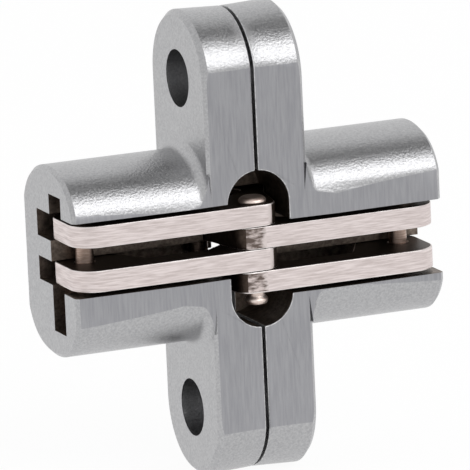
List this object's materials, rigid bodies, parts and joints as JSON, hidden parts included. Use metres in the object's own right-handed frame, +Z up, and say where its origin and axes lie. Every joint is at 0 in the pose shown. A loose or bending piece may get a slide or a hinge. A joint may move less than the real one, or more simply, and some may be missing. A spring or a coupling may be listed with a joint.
{
  "type": "invisible hinge",
  "caption": "Invisible cabinet-door hinge: mortised castings joined by crossed, sliding links that fold away inside them when the door is shut.",
  "frame": {"origin": "middle of the seam between the castings, hinge closed", "axes": "+X across the seam from the fixed casting to the door's, +Y to the side the door swings to, +Z up along the seam"},
  "size_m": [0.0368, 0.013, 0.044],
  "materials": {
    "casting": "satin plating over a blasted zinc casting",
    "link": "stamped and brushed",
    "pin": "turned"
  },
  "bodies": {
    "fixed_leaf": {"frame_leaf": "casting", "pivot_pin_frame": "pin"},
    "door_side_links": {"link_2": "link", "link_4": "link", "slide_pin_door": "pin"},
    "frame_side_links": {"link_1": "link", "link_3": "link", "slide_pin_frame": "pin", "centre_pin": "pin"},
    "moving_leaf": {"door_leaf": "casting", "pivot_pin_door": "pin"}
  },
  "joints": [
    {"name": "frame_pivot", "type": "hinge", "parent": "fixed_leaf", "child": "door_side_links", "pos_m": [-0.002, 0.0042, 0], "axis": [0, 0, 1], "range_deg": [0, 119.8]},
    {"name": "centre_pivot", "type": "hinge", "parent": "door_side_links", "child": "frame_side_links", "pos_m": [0, -0.0047, 0], "axis": [0, 0, 1], "range_deg": [-59.6, 0]},
    {"name": "door_pivot", "type": "hinge", "parent": "frame_side_links", "child": "moving_leaf", "pos_m": [0.002, 0.0042, 0], "axis": [0, 0, 1], "range_deg": [0, 119.8]}
  ],
  "couplings": [
    {"joint": "centre_pivot", "follows": "frame_pivot", "ratio": -0.49745},
    {"joint": "door_pivot", "follows": "frame_pivot", "ratio": 1}
  ]
}
